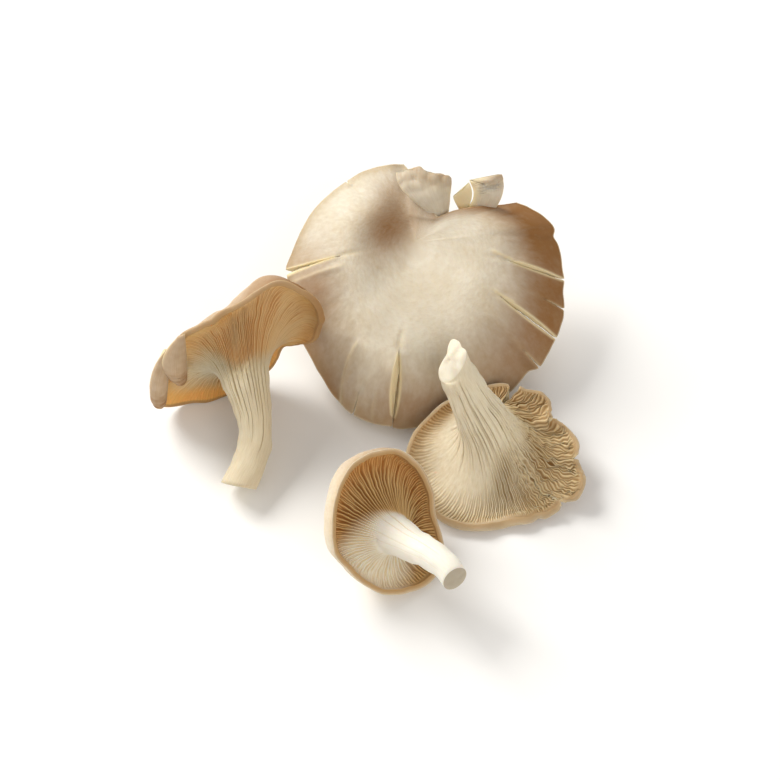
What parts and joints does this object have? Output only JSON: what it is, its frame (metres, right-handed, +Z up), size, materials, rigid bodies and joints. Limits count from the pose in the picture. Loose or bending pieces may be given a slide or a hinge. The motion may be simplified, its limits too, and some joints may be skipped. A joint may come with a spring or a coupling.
{
  "type": "oyster mushroom cluster",
  "caption": "Group of loose oyster mushrooms lying against each other: a broad split cap, an upright cap on its edge, a gills-up cap and a deep small cup, with pale stems.",
  "frame": {"origin": "middle of the footprint of the whole cluster, on the surface that it lies on", "axes": "+Z up from the surface, -Y towards the viewer of the picture, +X to the viewer's right"},
  "size_m": [0.152, 0.1568, 0.0629],
  "materials": {
    "mushroom_large": "soft matt flesh, cream to brown skin",
    "mushroom_left": "soft matt flesh, ochre gills and ivory stem",
    "mushroom_medium": "soft matt flesh, khaki gills and ivory stem",
    "mushroom_small": "soft matt flesh, brown gills and white stem"
  },
  "bodies": {
    "root": {"mushroom_large": "mushroom_large", "mushroom_left": "mushroom_left", "mushroom_medium": "mushroom_medium", "mushroom_small": "mushroom_small"}
  },
  "joints": []
}
